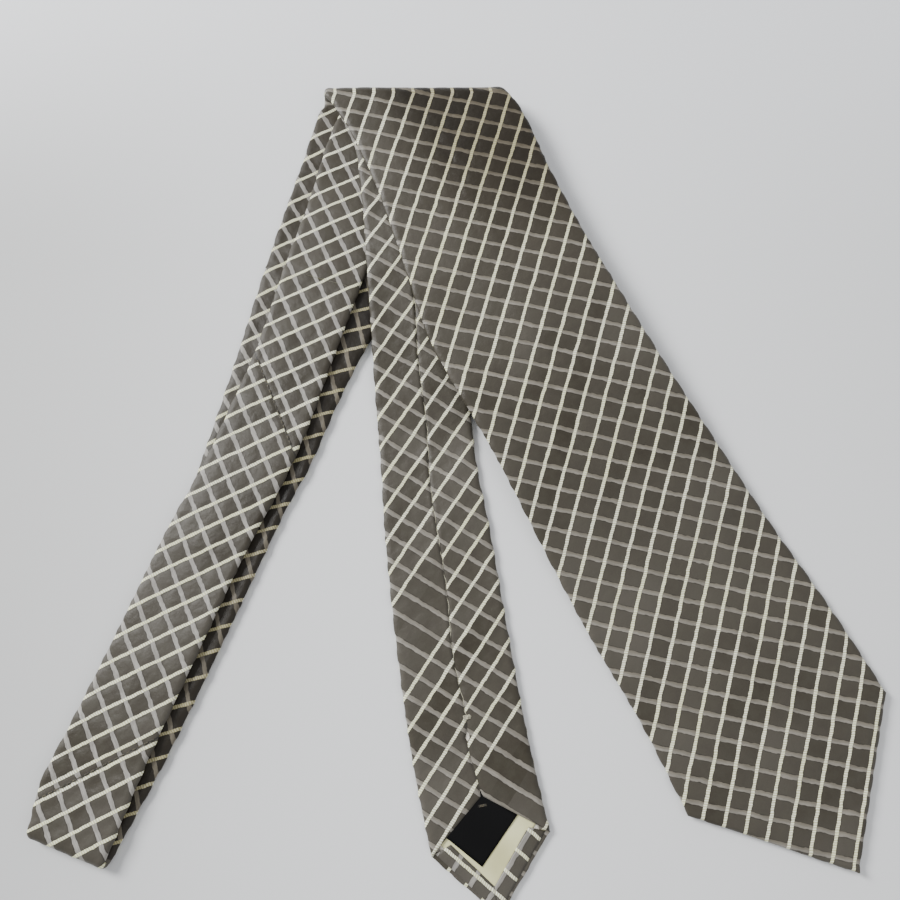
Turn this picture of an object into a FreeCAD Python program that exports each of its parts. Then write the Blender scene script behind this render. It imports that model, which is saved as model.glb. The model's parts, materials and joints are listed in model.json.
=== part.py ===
"""A bias-cut necktie laid flat: folded in half at the neck, then folded over at the top.

The strip runs blade - under run - neck fold - neck run - tail. Four layers lie on each other
below the top fold: the under run, the neck run, the tail and the blade. Millimetres, +Z up.
The origin is on the resting face under the under run, a little below the middle of the top fold.
Each run is drawn in a frame of its own whose -Y axis leads away from the fold that it hangs from.
Layer depths inside a run are counted from the front face of the cloth.
"""
import FreeCAD, Part
import os
import Sketcher

SIZES = {
    # the made-up strip
    "ply": 2.6, "wall": 0.5, "layer_gap": 0.4, "nest_gap": 0.8, "cut_gap": 0.4,
    "padding_start": 0.6, "padding_end": 1.6, "lining_start": 1.7, "lining_end": 2.0,
    "padding_margin": 1.2, "slit_width": 0.9, "slit_reach": 0.6, "thread": 0.3, "slit_start": 8,
    "cut_reach": 500, "overrun": 3,
    # top fold and the two runs that hang from it
    "fold_setback": 15, "fold_left": 46, "fold_right": 46,
    "blade_slope_start": 100, "blade_slope_end": 121, "blade_shelf": 8.0, "top_run_end": 260,
    "waist_x": 21, "waist_y": 125.6, "hip_x": 78.4, "hip_y": 126.3,
    # blade end
    "blade_bend_x": 65.2, "blade_bend_y": -128.9, "blade_lean": 28.7, "blade_bend_width": 88,
    "blade_width": 95, "blade_shoulder": 179.5, "blade_length": 233, "blade_rest": 0.6,
    "blade_slope": 110, "blade_vee": 140, "blade_hem": 10, "blade_lining_start": 118,
    # inner fold and the two runs that hang from it
    "inner_x": -17, "inner_y": 6, "inner_lean": -4.5, "nest_left": 18.5, "nest_right": 18.5,
    "tail_slope_start": 86, "tail_slope_end": 161, "inner_run_end": 230,
    "neck_hip_x": 35, "neck_hip_y": 72, "neck_waist_x": 0.4, "neck_waist_y": 84.8,
    "tail_seam_left_x": 44.2, "tail_seam_left_y": 129.5, "tail_seam_right_x": 20.8,
    "tail_seam_right_y": 169.5, "seam_gap": 1.0,
    # tail end
    "tail_bend_x": 5.6, "tail_bend_y": -168.8, "tail_lean": 9.1, "tail_bend_width": 42,
    "tail_width": 48.5, "tail_shoulder": 156, "tail_length": 182.4,
    "tail_vee": 137.5, "tail_hem": 7, "tail_lining_start": 122,
    # neck end
    "neck_bend_x": -73, "neck_bend_y": -171.2, "neck_lean": -21.4, "neck_length": 166.4,
    "under_left": 19, "under_right": 23, "neck_left": 17, "neck_right": 17.5,
    "neck_fold_left": 16.6, "neck_fold_right": 16.4, "blade_seam_left": 146, "blade_seam_right": 111,
    # label, keeper loop and bar tacks
    "label_side": 17, "label_start": 2.05, "label_end": 2.35, "label_clear": 2,
    "label_stitch": 3, "keeper_at": 34, "keeper_width": 12, "keeper_half": 30,
    "keeper_ply": 0.8, "keeper_gap": 0.6, "tack_length": 2, "tack_half": 3.2,
    "tail_tack_at": 105, "blade_tack_at": 118, "surface_gap": 0.1,
    # shares: how far a mitre reaches along the run, half of a square's diagonal
    "mitre": 1.4, "half_diagonal": 0.7,
}

doc = FreeCAD.newDocument("necktie")
sheet = doc.addObject("Spreadsheet::Sheet", "Sizes")


class Size:
    """A length or angle kept as a number together with the sheet expression that gives it."""

    def __init__(self, value, text):
        self.value = value
        self.text = text

    def __add__(self, other):
        other = as_size(other)
        return Size(self.value + other.value, f"({self.text} + {other.text})")

    def __sub__(self, other):
        other = as_size(other)
        return Size(self.value - other.value, f"({self.text} - {other.text})")

    def __mul__(self, other):
        other = as_size(other)
        return Size(self.value * other.value, f"({self.text} * {other.text})")

    def __truediv__(self, other):
        other = as_size(other)
        return Size(self.value / other.value, f"({self.text} / {other.text})")

    def __neg__(self):
        return Size(-self.value, f"(0 - {self.text})")

    def turned(self):
        """Cosine and sine of this angle in degrees."""
        turn = FreeCAD.Rotation(FreeCAD.Vector(0, 0, 1), self.value)
        along = turn.multVec(FreeCAD.Vector(1, 0, 0))
        cosine = Size(along.x, f"cos({self.text} * 1 deg)")
        sine = Size(along.y, f"sin({self.text} * 1 deg)")
        return cosine, sine


def as_size(number):
    return number if isinstance(number, Size) else Size(float(number), str(number))


def size(name):
    return Size(float(SIZES[name]), f"Sizes.{name}")


class Frame:
    """A run's own frame: its origin on the ground plane and its turn about +Z."""

    def __init__(self, x, y, lean):
        self.x = as_size(x)
        self.y = as_size(y)
        self.lean = as_size(lean)
        self.cosine, self.sine = self.lean.turned()

    def outside(self, x, y):
        """A point of this frame, in the model's frame."""
        x, y = as_size(x), as_size(y)
        return (self.x + x * self.cosine - y * self.sine, self.y + x * self.sine + y * self.cosine)

    def inside(self, point):
        """A point of the model's frame, in this frame."""
        x, y = point[0] - self.x, point[1] - self.y
        return (x * self.cosine + y * self.sine, y * self.cosine - x * self.sine)

    def place(self, thing):
        thing.setExpression("Placement.Base.x", self.x.text)
        thing.setExpression("Placement.Base.y", self.y.text)
        thing.setExpression("Placement.Rotation.Angle", self.lean.text)


def fill_sheet():
    for row, (name, number) in enumerate(SIZES.items(), start=1):
        sheet.set(f"A{row}", name)
        sheet.set(f"B{row}", str(number))
        sheet.setAlias(f"B{row}", name)
    doc.recompute()


# ---------------------------------------------------------------- outlines and strips

def origin_plane(body, role):
    return next(plane for plane in body.Origin.OriginFeatures if plane.Role == role)


def pin(sketch, edge, end, point):
    """Fix one end of an edge at a point by two distances from the sketch's origin."""
    for direction, coordinate in zip(("DistanceX", "DistanceY"), point):
        rule = Sketcher.Constraint(direction, -1, 1, edge, end, coordinate.value)
        sketch.setExpression(f"Constraints[{sketch.addConstraint(rule)}]", coordinate.text)


def vector(point):
    return FreeCAD.Vector(point[0].value, point[1].value, 0)


def draw(sketch, corners):
    """Closed outline; a corner given with a centre starts an arc about that centre."""
    first = sketch.GeometryCount
    starts, ends = [], []
    for index, corner in enumerate(corners):
        here, there = vector(corner), vector(corners[(index + 1) % len(corners)])
        if len(corner) == 2:
            sketch.addGeometry(Part.LineSegment(here, there))
            starts.append(1)
            ends.append(2)
            continue
        centre = vector(corner[2])
        out, back = here - centre, there - centre
        forward = corner[3]
        low, high = (out, back) if forward else (back, out)
        circle = Part.Circle(centre, FreeCAD.Vector(0, 0, 1), out.Length)
        angles = [FreeCAD.Vector(1, 0, 0).getAngle(arm) * (1 if arm.y >= 0 else -1) for arm in (low, high)]
        sketch.addGeometry(Part.ArcOfCircle(circle, angles[0], angles[1]))
        starts.append(1 if forward else 2)
        ends.append(2 if forward else 1)
    for index, corner in enumerate(corners):
        following = (index + 1) % len(corners)
        joint = Sketcher.Constraint("Coincident", first + index, ends[index],
                                    first + following, starts[following])
        sketch.addConstraint(joint)
        pin(sketch, first + index, starts[index], corner[:2])
        if len(corner) > 2:
            rule = Sketcher.Constraint("DistanceX", -1, 1, first + index, 3, corner[2][0].value)
            sketch.setExpression(f"Constraints[{sketch.addConstraint(rule)}]", corner[2][0].text)


def add_sketch(body, name, role):
    sketch = body.newObject("Sketcher::SketchObject", name)
    sketch.AttachmentSupport = [(origin_plane(body, role), "")]
    sketch.MapMode = "FlatFace"
    return sketch


def strip(name, frame, side, plan):
    """A band of cloth: its side view padded across the run, then cut to its plan outline."""
    body = doc.addObject("PartDesign::Body", name)
    body.Label = name
    side_sketch = add_sketch(body, f"{name}_side", "YZ_Plane")
    draw(side_sketch, side)
    pad = body.newObject("PartDesign::Pad", f"{name}_pad")
    pad.Profile = side_sketch
    pad.SideType = "Symmetric"
    pad.setExpression("Length", size("cut_reach").text)
    plan_sketch = add_sketch(body, f"{name}_plan", "XY_Plane")
    reach = size("cut_reach")
    draw(plan_sketch, [(-reach, -reach), (reach, -reach), (reach, reach), (-reach, reach)])
    draw(plan_sketch, plan)
    trim = body.newObject("PartDesign::Pocket", f"{name}_trim")
    trim.Profile = plan_sketch
    trim.Type = "ThroughAll"
    trim.SideType = "Symmetric"
    frame.place(body)
    return body


def minus(name, base, *tools):
    """The base with each tool cut away in turn; the last cut carries the name."""
    for number, tool in enumerate(tools, start=1):
        last = number == len(tools)
        cut = doc.addObject("Part::Cut", name if last else f"{name}_open{number}")
        cut.Base = base
        cut.Tool = tool
        cut.Label = cut.Name
        base = cut
    return base


# ---------------------------------------------------------------- side views of the runs

class Run:
    """One run's side view: levels of its underside, which way its back faces, and its fold."""

    def __init__(self, frame, levels, back_up, fold_centre=None):
        self.frame = frame
        self.levels = [(as_size(y), as_size(z)) for y, z in levels]
        self.back_up = back_up
        self.fold_centre = fold_centre

    def heights(self, start, end):
        """Offsets above the underside of the layer between two depths from the front face."""
        if self.back_up:
            return as_size(start), as_size(end)
        return size("ply") - end, size("ply") - start

    def layer(self, start, end, folded=False, overrun=0):
        """Side outline of that layer, with its quarter turn at the fold if it is folded."""
        low, high = self.heights(start, end)
        levels = list(self.levels)
        last_y, last_z = levels[-1]
        levels[-1] = (last_y - overrun, last_z)
        if not folded and overrun:
            levels.insert(0, (levels[0][0] + overrun, levels[0][1]))
        underside = [(y, z + low) for y, z in levels]
        topside = [(y, z + high) for y, z in reversed(levels)]
        if not folded:
            return underside + topside
        fold_y, fold_z = levels[0][0], self.fold_centre
        centre = (fold_y, fold_z)
        rising = fold_z.value < (levels[0][1] + low).value
        near, far = (underside, topside) if rising else (topside[::-1], underside[::-1])
        inner = near[0][1] - fold_z if rising else fold_z - near[0][1]
        outer = far[-1][1] - fold_z if rising else fold_z - far[-1][1]
        start_corner = (fold_y + inner, fold_z, centre, rising)
        far = far[:-1] + [(far[-1][0], far[-1][1], centre, not rising)]
        return [start_corner] + near + far + [(fold_y + outer, fold_z)]


def hairpin(start, end, top_end):
    """Side outline of a layer that runs out on the ground, round the neck fold and back on top."""
    lower_low, lower_high = start, end
    upper_low = size("ply") + size("layer_gap") + size("ply") - end
    upper_high = size("ply") + size("layer_gap") + size("ply") - start
    middle = size("ply") + size("layer_gap") / 2
    fold_y = middle - size("neck_length")
    centre = (fold_y, middle)
    near_end = -size("cut_gap") / 2
    return [(near_end, lower_low), (fold_y, lower_low, centre, False), (fold_y, upper_high),
            (top_end, upper_high), (top_end, upper_low), (fold_y, upper_low, centre, True),
            (fold_y, lower_high), (near_end, lower_high)]


def vee_opening(half, shoulder, tip, vee, hem, slit):
    """Plan of the slit between the back flaps, widening into the open vee at the pointed end."""
    slope = (tip - shoulder) / half
    flap_slope = (shoulder - vee) / half
    inner_tip = tip - hem * size("mitre")
    corner_x = (inner_tip - vee) / (slope + flap_slope)
    corner_y = vee + flap_slope * corner_x
    return [(slit, size("overrun")), (-slit, size("overrun")), (-slit, -vee), (-corner_x, -corner_y),
            (as_size(0), -inner_tip), (corner_x, -corner_y), (slit, -vee)]


def pointed(half_start, half_end, shoulder, tip, start, inset):
    """Plan of a run that widens from its bend to its shoulders and ends in a point."""
    half_start, half_end = half_start - inset, half_end - inset
    return [(half_start, start), (-half_start, start), (-half_end, -shoulder),
            (as_size(0), as_size(inset) * size("mitre") - tip), (half_end, -shoulder)]


def ribbon(start, end, half):
    """Plan of a narrow band between two points, its ends square to the frame."""
    return [(start[0] + half, start[1]), (start[0] - half, start[1]),
            (end[0] - half, end[1]), (end[0] + half, end[1])]


def diamond(top, half):
    return [(as_size(0), -top), (-half, -top - half), (as_size(0), -top - half * 2), (half, -top - half)]


def shift(points, x):
    return [(point[0] + x, point[1]) for point in points]


fill_sheet()
ZERO = as_size(0)
ply, wall, gap = size("ply"), size("wall"), size("cut_gap")
padding = (size("padding_start"), size("padding_end"))
lining = (size("lining_start"), size("lining_end"))
margin, overrun = size("padding_margin"), size("overrun")
thread_start = ply - wall / 2 - size("thread") / 2
thread_end = ply - wall / 2 + size("thread") / 2
thread_half, slit_half = size("thread") / 2, size("slit_width") / 2

under_level = ZERO
neck_level = ply + size("layer_gap")
tail_level = neck_level + ply + size("nest_gap")
blade_level = tail_level + ply + size("layer_gap")
fold_height = (blade_level + ply) / 2
upper_turn = fold_height + gap / 2
lower_turn = fold_height - gap / 2
fold_radius = blade_level + ply - upper_turn
nest_radius = tail_level + ply - upper_turn

TOP = Frame(0, size("fold_setback"), 0)
INNER = Frame(size("inner_x"), size("inner_y"), size("inner_lean"))
BLADE = Frame(size("blade_bend_x"), size("blade_bend_y"), size("blade_lean"))
TAIL = Frame(size("tail_bend_x"), size("tail_bend_y"), size("tail_lean"))
NECK = Frame(size("neck_bend_x"), size("neck_bend_y"), size("neck_lean"))

blade_top = Run(TOP, [(-fold_radius, blade_level), (-size("blade_slope_start"), blade_level),
                      (-size("blade_slope_end"), size("blade_shelf")),
                      (-size("top_run_end"), size("blade_shelf"))], False, upper_turn)
under = Run(TOP, [(-fold_radius, under_level), (-size("top_run_end"), under_level)], True, lower_turn)
tail_top = Run(INNER, [(-nest_radius, tail_level), (-size("tail_slope_start"), tail_level),
                       (-size("tail_slope_end"), ZERO), (-size("inner_run_end"), ZERO)], True, upper_turn)
neck_top = Run(INNER, [(-nest_radius, neck_level), (-size("inner_run_end"), neck_level)], False,
               lower_turn)
blade_end = Run(BLADE, [(-gap / 2, size("blade_shelf")), (-size("blade_slope"), size("blade_rest")),
                        (-size("blade_length"), size("blade_rest"))], False)
tail_end = Run(TAIL, [(-gap / 2, ZERO), (-size("tail_length"), ZERO)], True)
neck_low = Run(NECK, [(-gap / 2, neck_level), (-size("neck_length"), neck_level)], False)


def across(frame, other, left, right, y, inset):
    """Two ends of a line across another run's bend, seen from this frame: right, then left."""
    return (frame.inside(other.outside(right - inset, y)), frame.inside(other.outside(inset - left, y)))


def sleeve(name, run, plan, centre, opening=None):
    """Folded shell cloth: a flat tube, open at both ends, slit along the middle of its back."""
    folded = run.fold_centre is not None and centre[2]
    outer = strip(f"{name}_outer", run.frame, run.layer(ZERO, ply, folded), plan(ZERO, ZERO))
    hollow = strip(f"{name}_hollow", run.frame, run.layer(wall, ply - wall, folded, overrun),
                   plan(wall, overrun))
    slit_plan = opening or ribbon(centre[0], centre[1], slit_half)
    back = run.layer(ply - wall - size("surface_gap"), ply + size("slit_reach"), False, overrun)
    slit = strip(f"{name}_slit", run.frame, back, slit_plan)
    return minus(name, outer, hollow, slit)


def padding_strip(name, run, plan, folded):
    return strip(name, run.frame, run.layer(*padding, folded), plan(margin, -margin))


def stitch_line(name, run, start, end):
    return strip(name, run.frame, run.layer(thread_start, thread_end), ribbon(start, end, thread_half))


# ---------------------------------------------------------------- plans of the runs

def blade_top_plan(inset, extend):
    half = size("blade_bend_width") / 2
    right, left = across(TOP, BLADE, half, half, gap / 2 - extend, inset)
    return [(size("fold_right") - inset, overrun), (inset - size("fold_left"), overrun), left, right]


def under_plan(inset, extend):
    right, left = across(TOP, NECK, size("under_left"), size("under_right"), gap / 2 - extend, inset)
    return [(size("fold_right") - inset, overrun), (inset - size("fold_left"), overrun),
            (inset - size("hip_x"), -size("hip_y")), left, right,
            (-size("waist_x") - inset, -size("waist_y"))]


def tail_top_plan(inset, extend):
    half = size("tail_bend_width") / 2
    right, left = across(INNER, TAIL, half, half, gap / 2 - extend, inset)
    return [(size("nest_right") - inset, overrun), (inset - size("nest_left"), overrun), left, right]


def seam_right(extend):
    return (-size("tail_seam_right_x"), -size("tail_seam_right_y") - extend)


def seam_left(extend):
    return (-size("tail_seam_left_x"), -size("tail_seam_left_y") - extend)


def tail_fold_plan(inset, extend):
    """The tail panel's cloth on the neck run, ending at the slanting panel seam."""
    right, left = seam_right(extend), seam_left(extend)
    return [(size("nest_right") - inset, overrun), (inset - size("nest_left"), overrun),
            (inset - size("neck_hip_x"), -size("neck_hip_y")), (left[0] + inset, left[1]),
            (right[0] - inset, right[1]), (size("neck_waist_x") - inset, -size("neck_waist_y"))]


def neck_upper_plan(inset, extend):
    """The neck panel's cloth between the slanting seam and the neck end's bend."""
    right, left = across(INNER, NECK, size("neck_left"), size("neck_right"), gap / 2 - extend, inset)
    top_right, top_left = seam_right(size("seam_gap") - extend), seam_left(size("seam_gap") - extend)
    return [(top_right[0] - inset, top_right[1]), (top_left[0] + inset, top_left[1]), left, right]


def neck_top_padding_plan(inset, extend):
    right, left = across(INNER, NECK, size("neck_left"), size("neck_right"), gap / 2 - extend, inset)
    return [(size("nest_right") - inset, overrun), (inset - size("nest_left"), overrun),
            (inset - size("neck_hip_x"), -size("neck_hip_y")), (seam_left(0)[0] + inset, seam_left(0)[1]),
            left, right, (seam_right(0)[0] - inset, seam_right(0)[1]),
            (size("neck_waist_x") - inset, -size("neck_waist_y"))]


def neck_lower_plan(inset, extend):
    start = extend - gap / 2
    seam = size("seam_gap") - extend
    return [(size("neck_right") - inset, start), (inset - size("neck_left"), start),
            (inset - size("neck_left"), seam - size("blade_seam_left")),
            (size("neck_right") - inset, seam - size("blade_seam_right"))]


def neck_end_plan(inset, left, right):
    return [(right - inset, overrun), (inset - left, overrun),
            (inset - size("neck_fold_left"), -size("neck_length") - overrun),
            (size("neck_fold_right") - inset, -size("neck_length") - overrun)]


def blade_seam_y(x, extend):
    """Where the slanting blade seam crosses the neck run at x."""
    rise = size("blade_seam_left") - size("blade_seam_right")
    slope = rise / (size("neck_left") + size("neck_right"))
    return (x + size("neck_left")) * slope - size("blade_seam_left") + extend


def blade_end_plan(inset, extend):
    return pointed(size("blade_bend_width") / 2, size("blade_width") / 2, size("blade_shoulder"),
                   size("blade_length"), extend - gap / 2, inset)


def tail_end_plan(inset, extend):
    return pointed(size("tail_bend_width") / 2, size("tail_width") / 2, size("tail_shoulder"),
                   size("tail_length"), extend - gap / 2, inset)


def middle_of(points):
    total_x = points[0][0] + points[1][0]
    total_y = points[0][1] + points[1][1]
    return total_x / 2, total_y / 2


# ---------------------------------------------------------------- shells, padding and stitching

def build_shells():
    slit_start = -size("slit_start") - fold_radius
    ends = {
        "blade_shell_top": (blade_top, blade_top_plan, middle_of(blade_top_plan(ZERO, overrun)[2:4])),
        "blade_shell_under": (under, under_plan, middle_of(under_plan(ZERO, overrun)[3:5])),
        "tail_shell_top": (tail_top, tail_top_plan, middle_of(tail_top_plan(ZERO, overrun)[2:4])),
        "tail_shell_fold": (neck_top, tail_fold_plan, middle_of(tail_fold_plan(ZERO, overrun)[3:5])),
    }
    for name, (run, plan, end) in ends.items():
        sleeve(name, run, plan, ((ZERO, slit_start), end, True))
    top, bottom = neck_upper_plan(ZERO, overrun)[0:2], neck_upper_plan(ZERO, overrun)[2:4]
    sleeve("neck_shell_upper", neck_top, neck_upper_plan, (middle_of(top), middle_of(bottom), False))
    low = neck_lower_plan(ZERO, overrun)
    sleeve("neck_shell_lower", neck_low, neck_lower_plan, (middle_of(low[0:2]), middle_of(low[2:4]), False))
    blade_vee = vee_opening(size("blade_width") / 2, size("blade_shoulder"), size("blade_length"),
                            size("blade_vee"), size("blade_hem"), slit_half)
    sleeve("blade_shell_end", blade_end, blade_end_plan, (None, None, False), blade_vee)
    tail_vee = vee_opening(size("tail_width") / 2, size("tail_shoulder"), size("tail_length"),
                           size("tail_vee"), size("tail_hem"), slit_half)
    sleeve("tail_shell_end", tail_end, tail_end_plan, (None, None, False), tail_vee)


def build_neck_fold():
    """Blade panel cloth round the neck fold, ending on top at the slanting blade seam."""
    name = "blade_shell_neck"
    top_end = -size("blade_seam_right")
    clear = size("layer_gap") / 4
    left, right = size("under_left"), size("under_right")
    outer = strip(f"{name}_outer", NECK, hairpin(ZERO, ply, top_end), neck_end_plan(ZERO, left, right))
    hollow = strip(f"{name}_hollow", NECK, hairpin(wall, ply - wall, top_end + overrun),
                   neck_end_plan(wall, left, right))
    seam = Run(NECK, [(overrun, neck_level), (-size("neck_length"), neck_level)], False)
    across_seam = [(right, overrun), (-left, overrun), (-left, blade_seam_y(-left, ZERO)),
                   (right, blade_seam_y(right, ZERO))]
    seam_cut = strip(f"{name}_seam", NECK, seam.layer(-clear, ply + clear), across_seam)
    back_run = Run(NECK, [(ZERO, under_level), (-size("neck_length"), under_level)], True)
    back_side = back_run.layer(ply - wall - size("surface_gap"), ply + clear, False, overrun)
    slit_end = size("slit_start") - size("neck_length")
    slit = strip(f"{name}_slit", NECK, back_side, ribbon((ZERO, overrun), (ZERO, slit_end), slit_half))
    minus(name, outer, hollow, seam_cut, slit)
    padding_plan = neck_end_plan(margin, size("neck_left"), size("neck_right"))
    strip("interlining_neck", NECK, hairpin(*padding, -margin), padding_plan)
    stitch_line("slip_stitch_neck", back_run, (ZERO, -overrun), (ZERO, slit_end + overrun))


def build_padding():
    padding_strip("interlining_blade_top", blade_top, blade_top_plan, True)
    padding_strip("interlining_under", under, under_plan, True)
    padding_strip("interlining_tail_top", tail_top, tail_top_plan, True)
    padding_strip("interlining_fold", neck_top, neck_top_padding_plan, True)
    padding_strip("interlining_blade_end", blade_end, blade_end_plan, False)
    padding_strip("interlining_tail_end", tail_end, tail_end_plan, False)


def build_linings():
    for name, run, part in (("blade_tipping", blade_end, "blade"), ("tail_tipping", tail_end, "tail")):
        half, start = size(f"{part}_width") / 2 - margin * 2, -size(f"{part}_lining_start")
        plan = pointed(half, size(f"{part}_width") / 2, size(f"{part}_shoulder"), size(f"{part}_length"),
                       start, margin * 2)
        strip(name, run.frame, run.layer(*lining), plan)


def build_slip_stitches():
    slit_start = -size("slit_start") - fold_radius
    past_end = overrun * 3
    for name, run, plan, corners in (
            ("slip_stitch_blade_top", blade_top, blade_top_plan, slice(2, 4)),
            ("slip_stitch_under", under, under_plan, slice(3, 5)),
            ("slip_stitch_tail_top", tail_top, tail_top_plan, slice(2, 4)),
            ("slip_stitch_fold", neck_top, tail_fold_plan, slice(3, 5))):
        end_x, end_y = middle_of(plan(ZERO, overrun)[corners])
        slit_length = end_y - slit_start
        first_x = end_x * -overrun / slit_length
        last_x = end_x * (slit_length + past_end) / slit_length
        stitch_line(name, run, (first_x, slit_start - overrun), (last_x, end_y + past_end))
    stitch_line("slip_stitch_blade_end", blade_end, (ZERO, -overrun), (ZERO, -size("blade_tack_at")))
    stitch_line("slip_stitch_tail_end", tail_end, (ZERO, -overrun), (ZERO, -size("tail_tack_at")))


def build_bar_tacks():
    """Short bars of thread across the back seam, where the flaps start to part."""
    start = ply + size("surface_gap")
    for part, run in (("blade", blade_end), ("tail", tail_end)):
        at = -size(f"{part}_tack_at")
        plan = [(size("tack_half"), at), (-size("tack_half"), at),
                (-size("tack_half"), at - size("tack_length")), (size("tack_half"), at - size("tack_length"))]
        strip(f"{part}_bar_tack", run.frame, run.layer(start, start + size("thread")), plan)


def build_seam_threads():
    """The two slanting seams that join the blade, neck and tail panels."""
    front = (wall / 2 - thread_half, wall / 2 + thread_half)
    middle = size("seam_gap") / 2
    right, left = seam_right(middle - thread_half), seam_left(middle - thread_half)
    upper = [right, left, (left[0], left[1] - size("thread")), (right[0], right[1] - size("thread"))]
    strip("tail_panel_seam", INNER, neck_top.layer(*front), upper)
    start = middle + thread_half
    lower = [(size("neck_right"), start - size("blade_seam_right")),
             (-size("neck_left"), start - size("blade_seam_left")),
             (-size("neck_left"), start - size("thread") - size("blade_seam_left")),
             (size("neck_right"), start - size("thread") - size("blade_seam_right"))]
    strip("blade_panel_seam", NECK, neck_low.layer(*front), lower)


def build_label():
    """Care label, a turned square in the open vee, sewn down at its top corner."""
    half = size("label_side") * size("half_diagonal")
    top = size("tail_vee") + size("label_clear")
    strip("care_label", TAIL, tail_end.layer(size("label_start"), size("label_end")), diamond(top, half))
    stitch_top = top + size("label_clear")
    reach = size("label_stitch") / 2
    start = size("label_end") + size("surface_gap")
    plan = ribbon((ZERO, -stitch_top), (ZERO, -stitch_top - size("thread")), reach)
    strip("label_stitch", TAIL, tail_end.layer(start, start + size("thread")), plan)


def build_keeper():
    """Loop across the back of the blade that the tail slips through, sewn down at both ends."""
    at, half, width = -size("keeper_at"), size("keeper_half"), size("keeper_width")
    start = ply + size("keeper_gap")
    band = [(half, at), (-half, at), (-half, at - width), (half, at - width)]
    strip("keeper_loop", BLADE, blade_end.layer(start, start + size("keeper_ply")), band)
    inset = size("tack_length")
    near, far = inset - half, inset * 2 - half
    plan = [(far, at - inset), (near, at - inset), (near, at + inset - width), (far, at + inset - width)]
    side = blade_end.layer(ply + size("surface_gap"), start - size("surface_gap"))
    stitches = [strip("keeper_stitch_left", BLADE, side, plan),
                strip("keeper_stitch_right", BLADE, side, shift(plan, -near - far))]
    pair = doc.addObject("Part::Compound", "keeper_stitches")
    pair.Links = stitches
    pair.Label = "keeper_stitches"


NODES = [
    "blade_shell_end", "blade_shell_top", "blade_shell_under", "blade_shell_neck", "neck_shell_lower",
    "neck_shell_upper", "tail_shell_fold", "tail_shell_top", "tail_shell_end", "interlining_blade_end",
    "interlining_blade_top", "interlining_under", "interlining_neck", "interlining_fold",
    "interlining_tail_top", "interlining_tail_end", "blade_tipping", "tail_tipping", "keeper_loop",
    "keeper_stitches", "care_label", "label_stitch", "blade_panel_seam",
    "tail_panel_seam", "slip_stitch_blade_end", "slip_stitch_blade_top", "slip_stitch_under",
    "slip_stitch_neck", "slip_stitch_fold", "slip_stitch_tail_top", "slip_stitch_tail_end",
    "tail_bar_tack", "blade_bar_tack",
]


def write_parts():
    for thing in doc.Objects:
        if "Invalid" in thing.State or "Error" in thing.State:
            raise RuntimeError(f"{thing.Name}: {thing.State}")
    os.makedirs("parts", exist_ok=True)
    for name in NODES:
        shape = doc.getObject(name).Shape
        if shape.isNull() or not shape.isValid() or not shape.Solids:
            raise RuntimeError(f"{name}: no valid solid")
        shape.exportStep(f"parts/{name}.step")


build_shells()
build_neck_fold()
build_padding()
build_linings()
build_slip_stitches()
build_bar_tacks()
build_seam_threads()
build_label()
build_keeper()
doc.recompute()
write_parts()
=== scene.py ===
"""Looks of the folded necktie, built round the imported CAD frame.

Each run of the tie is a padded tube of cloth swept along rows of (left edge, right edge, front
normal). Lengths in this file are millimetres until a mesh is made. Every tube carries a UV map
that counts check repeats: u across the cream stripes and v across the grey ones.
"""
import json
import math

import bpy
import numpy as np
from mathutils import Matrix, Vector


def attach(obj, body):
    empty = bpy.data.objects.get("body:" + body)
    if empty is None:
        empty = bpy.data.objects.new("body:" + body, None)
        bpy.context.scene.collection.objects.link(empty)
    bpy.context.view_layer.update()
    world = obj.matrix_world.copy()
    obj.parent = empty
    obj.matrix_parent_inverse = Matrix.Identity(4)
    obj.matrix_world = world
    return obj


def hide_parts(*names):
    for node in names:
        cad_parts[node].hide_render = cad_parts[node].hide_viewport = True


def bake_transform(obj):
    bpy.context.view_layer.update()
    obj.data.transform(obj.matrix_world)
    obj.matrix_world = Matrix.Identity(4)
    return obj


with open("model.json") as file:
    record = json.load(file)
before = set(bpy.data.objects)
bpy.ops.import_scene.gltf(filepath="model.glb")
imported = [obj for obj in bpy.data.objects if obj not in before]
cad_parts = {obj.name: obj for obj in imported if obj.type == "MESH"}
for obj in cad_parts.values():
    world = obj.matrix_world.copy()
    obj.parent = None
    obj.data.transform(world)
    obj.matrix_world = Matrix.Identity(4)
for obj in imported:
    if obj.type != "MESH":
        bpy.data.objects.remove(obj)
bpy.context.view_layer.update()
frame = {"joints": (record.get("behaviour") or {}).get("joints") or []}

joints = {joint["name"]: joint for joint in frame["joints"]}

MM = 0.001
PITCH = 8.75                 # one repeat of the check
THICK = 2.6                  # made-up thickness of a run
FACE = THICK / 2             # from the middle of a run to its face
RIM = 2.6                    # how far the rounded edge reaches into a run
ROW_STEP = 1.1               # between rows along a run
COLUMN_STEP = 1.15           # between columns across it
TURN_STEP = 0.6              # between rows round a fold
NO_SEAM = -10.0              # distance given to cloth that no panel seam is near
NOWHERE = -999               # row number of a place that a run doesn't have
UP = np.array([0.0, 0.0, 1.0])
RIM_STEPS = np.array([0.0, 0.05, 0.16, 0.34, 0.58, 0.82, 1.0])


# ---------------- small maths

def smooth(value, low, high):
    share = np.clip((value - low) / (high - low), 0.0, 1.0)
    return share * share * (3.0 - 2.0 * share)


def unit(vectors):
    return vectors / np.linalg.norm(vectors, axis=-1, keepdims=True)


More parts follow.
